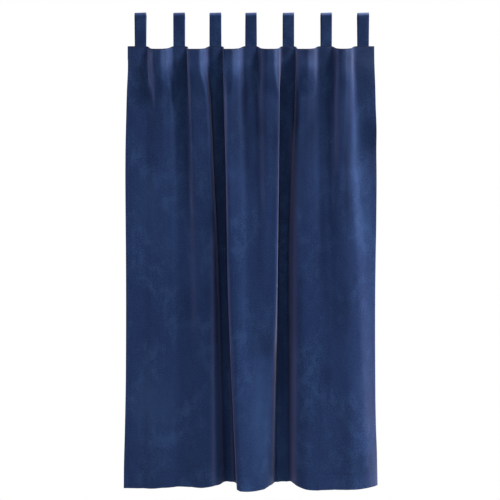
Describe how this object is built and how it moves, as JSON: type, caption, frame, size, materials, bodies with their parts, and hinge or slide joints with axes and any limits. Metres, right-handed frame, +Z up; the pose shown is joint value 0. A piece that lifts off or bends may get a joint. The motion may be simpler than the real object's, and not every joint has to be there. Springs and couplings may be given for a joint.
{
  "type": "tab top velvet curtain panel",
  "caption": "Velvet curtain panel hanging from sewn tab loops, with deep folds either side of a central crest and a plain straight hem.",
  "frame": {"origin": "under the crown of the middle tab, where that tab bears on a rod", "axes": "+Z up, +X to the right seen from the room and along the rod, -Y towards the room"},
  "size_m": [1.1418, 0.1119, 2.1412],
  "materials": {
    "velvet": "dark navy pile velvet, matt face on, pale along grazing edges",
    "velvet_facing": "the same navy velvet as a sewn facing strip",
    "velvet_tabs": "the same navy velvet, folded and pressed into loops"
  },
  "bodies": {
    "root": {"panel": "velvet", "heading": "velvet_facing", "tab_1": "velvet_tabs", "tab_2": "velvet_tabs", "tab_3": "velvet_tabs", "tab_4": "velvet_tabs", "tab_5": "velvet_tabs", "tab_6": "velvet_tabs", "tab_7": "velvet_tabs"}
  },
  "joints": []
}
